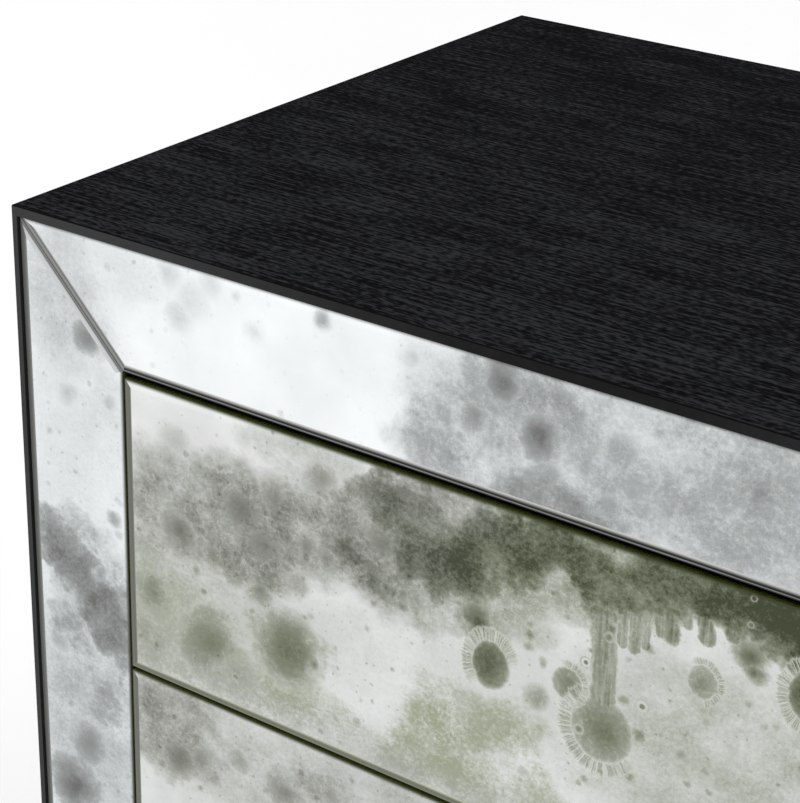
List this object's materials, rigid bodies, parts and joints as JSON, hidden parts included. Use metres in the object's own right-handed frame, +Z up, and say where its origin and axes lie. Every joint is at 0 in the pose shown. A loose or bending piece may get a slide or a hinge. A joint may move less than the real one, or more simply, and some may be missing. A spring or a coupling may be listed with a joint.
{
  "type": "mirrored nightstand",
  "caption": "Nightstand with a mitred black-oak case, a bevelled antique-mirror border and inset mirror-faced drawers that open with a push.",
  "frame": {"origin": "on the floor, under the middle of the case", "axes": "+X to the right seen from the front, +Y to the back, +Z up; the drawers face -Y"},
  "size_m": [0.6116, 0.46, 0.66],
  "materials": {
    "black_oak": "satin, fine open grain",
    "black_frame": "matt black paint",
    "antique_mirror": "clouded and speckled silvering",
    "back_board": "black-faced board",
    "birch": "clear lacquer",
    "birch_ply": "clear lacquer",
    "pine": "bare",
    "zinc_steel": "zinc plate",
    "ball_steel": "polished",
    "spring_steel": "plain wire",
    "screw_steel": "black",
    "latch_plastic": "grey",
    "glide_nylon": "black"
  },
  "bodies": {
    "case": {"top_panel": "black_oak", "bottom_panel": "black_oak", "left_side_panel": "black_oak", "right_side_panel": "black_oak", "back_panel": "back_board", "back_panel_screws": "screw_steel", "face_frame_top_rail": "black_frame", "face_frame_bottom_rail": "black_frame", "face_frame_left_stile": "black_frame", "face_frame_right_stile": "black_frame", "mirror_strip_top": "antique_mirror", "mirror_strip_bottom": "antique_mirror", "mirror_strip_left": "antique_mirror", "mirror_strip_right": "antique_mirror", "plinth_front_rail": "black_oak", "plinth_back_rail": "black_oak", "plinth_left_rail": "black_oak", "plinth_right_rail": "black_oak", "floor_glides": "glide_nylon", "runner_cleats": "pine", "outer_runners": "zinc_steel", "latch_batten": "pine", "latch_housings": "latch_plastic", "upper_latch_spring": "spring_steel", "middle_latch_spring": "spring_steel", "lower_latch_spring": "spring_steel"},
    "upper_drawer": {"upper_drawer_mirror": "antique_mirror", "upper_drawer_front_board": "black_frame", "upper_drawer_left_side": "birch", "upper_drawer_right_side": "birch", "upper_drawer_back": "birch", "upper_drawer_bottom": "birch_ply", "upper_drawer_inner_runners": "zinc_steel"},
    "upper_drawer_middle_runners": {"upper_drawer_middle_runners": "zinc_steel"},
    "upper_drawer_outer_ball_cages": {"upper_drawer_outer_ball_cages": "ball_steel"},
    "upper_drawer_inner_ball_cages": {"upper_drawer_inner_ball_cages": "ball_steel"},
    "upper_latch_plunger": {"upper_latch_plunger": "latch_plastic"},
    "middle_drawer": {"middle_drawer_mirror": "antique_mirror", "middle_drawer_front_board": "black_frame", "middle_drawer_left_side": "birch", "middle_drawer_right_side": "birch", "middle_drawer_back": "birch", "middle_drawer_bottom": "birch_ply", "middle_drawer_inner_runners": "zinc_steel"},
    "middle_drawer_middle_runners": {"middle_drawer_middle_runners": "zinc_steel"},
    "middle_drawer_outer_ball_cages": {"middle_drawer_outer_ball_cages": "ball_steel"},
    "middle_drawer_inner_ball_cages": {"middle_drawer_inner_ball_cages": "ball_steel"},
    "middle_latch_plunger": {"middle_latch_plunger": "latch_plastic"},
    "lower_drawer": {"lower_drawer_mirror": "antique_mirror", "lower_drawer_front_board": "black_frame", "lower_drawer_left_side": "birch", "lower_drawer_right_side": "birch", "lower_drawer_back": "birch", "lower_drawer_bottom": "birch_ply", "lower_drawer_inner_runners": "zinc_steel"},
    "lower_drawer_middle_runners": {"lower_drawer_middle_runners": "zinc_steel"},
    "lower_drawer_outer_ball_cages": {"lower_drawer_outer_ball_cages": "ball_steel"},
    "lower_drawer_inner_ball_cages": {"lower_drawer_inner_ball_cages": "ball_steel"},
    "lower_latch_plunger": {"lower_latch_plunger": "latch_plastic"}
  },
  "joints": [
    {"name": "upper_drawer_slide", "type": "slide", "parent": "case", "child": "upper_drawer", "axis": [0, -1, 0], "range_m": [-0.003, 0.335]},
    {"name": "upper_drawer_middle_runners_slide", "type": "slide", "parent": "case", "child": "upper_drawer_middle_runners", "axis": [0, -1, 0], "range_m": [-0.002, 0.168]},
    {"name": "upper_drawer_outer_ball_cages_slide", "type": "slide", "parent": "case", "child": "upper_drawer_outer_ball_cages", "axis": [0, -1, 0], "range_m": [-0.00125, 0.08425]},
    {"name": "upper_drawer_inner_ball_cages_slide", "type": "slide", "parent": "case", "child": "upper_drawer_inner_ball_cages", "axis": [0, -1, 0], "range_m": [-0.00275, 0.25175]},
    {"name": "upper_latch_plunger_slide", "type": "slide", "parent": "case", "child": "upper_latch_plunger", "axis": [0, -1, 0], "range_m": [-0.00077, 0.0305], "deforming": ["upper_latch_spring"]},
    {"name": "middle_drawer_slide", "type": "slide", "parent": "case", "child": "middle_drawer", "axis": [0, -1, 0], "range_m": [-0.003, 0.335]},
    {"name": "middle_drawer_middle_runners_slide", "type": "slide", "parent": "case", "child": "middle_drawer_middle_runners", "axis": [0, -1, 0], "range_m": [-0.002, 0.168]},
    {"name": "middle_drawer_outer_ball_cages_slide", "type": "slide", "parent": "case", "child": "middle_drawer_outer_ball_cages", "axis": [0, -1, 0], "range_m": [-0.00125, 0.08425]},
    {"name": "middle_drawer_inner_ball_cages_slide", "type": "slide", "parent": "case", "child": "middle_drawer_inner_ball_cages", "axis": [0, -1, 0], "range_m": [-0.00275, 0.25175]},
    {"name": "middle_latch_plunger_slide", "type": "slide", "parent": "case", "child": "middle_latch_plunger", "axis": [0, -1, 0], "range_m": [-0.00077, 0.0305], "deforming": ["middle_latch_spring"]},
    {"name": "lower_drawer_slide", "type": "slide", "parent": "case", "child": "lower_drawer", "axis": [0, -1, 0], "range_m": [-0.003, 0.335]},
    {"name": "lower_drawer_middle_runners_slide", "type": "slide", "parent": "case", "child": "lower_drawer_middle_runners", "axis": [0, -1, 0], "range_m": [-0.002, 0.168]},
    {"name": "lower_drawer_outer_ball_cages_slide", "type": "slide", "parent": "case", "child": "lower_drawer_outer_ball_cages", "axis": [0, -1, 0], "range_m": [-0.00125, 0.08425]},
    {"name": "lower_drawer_inner_ball_cages_slide", "type": "slide", "parent": "case", "child": "lower_drawer_inner_ball_cages", "axis": [0, -1, 0], "range_m": [-0.00275, 0.25175]},
    {"name": "lower_latch_plunger_slide", "type": "slide", "parent": "case", "child": "lower_latch_plunger", "axis": [0, -1, 0], "range_m": [-0.00077, 0.0305], "deforming": ["lower_latch_spring"]}
  ],
  "couplings": [
    {"joint": "upper_drawer_middle_runners_slide", "follows": "upper_drawer_slide", "ratio": 0.5},
    {"joint": "upper_drawer_outer_ball_cages_slide", "follows": "upper_drawer_slide", "ratio": 0.25},
    {"joint": "upper_drawer_inner_ball_cages_slide", "follows": "upper_drawer_slide", "ratio": 0.75},
    {"joint": "upper_latch_plunger_slide", "follows": "upper_drawer_slide", "ratio": 0.08955},
    {"joint": "middle_drawer_middle_runners_slide", "follows": "middle_drawer_slide", "ratio": 0.5},
    {"joint": "middle_drawer_outer_ball_cages_slide", "follows": "middle_drawer_slide", "ratio": 0.25},
    {"joint": "middle_drawer_inner_ball_cages_slide", "follows": "middle_drawer_slide", "ratio": 0.75},
    {"joint": "middle_latch_plunger_slide", "follows": "middle_drawer_slide", "ratio": 0.08955},
    {"joint": "lower_drawer_middle_runners_slide", "follows": "lower_drawer_slide", "ratio": 0.5},
    {"joint": "lower_drawer_outer_ball_cages_slide", "follows": "lower_drawer_slide", "ratio": 0.25},
    {"joint": "lower_drawer_inner_ball_cages_slide", "follows": "lower_drawer_slide", "ratio": 0.75},
    {"joint": "lower_latch_plunger_slide", "follows": "lower_drawer_slide", "ratio": 0.08955}
  ]
}
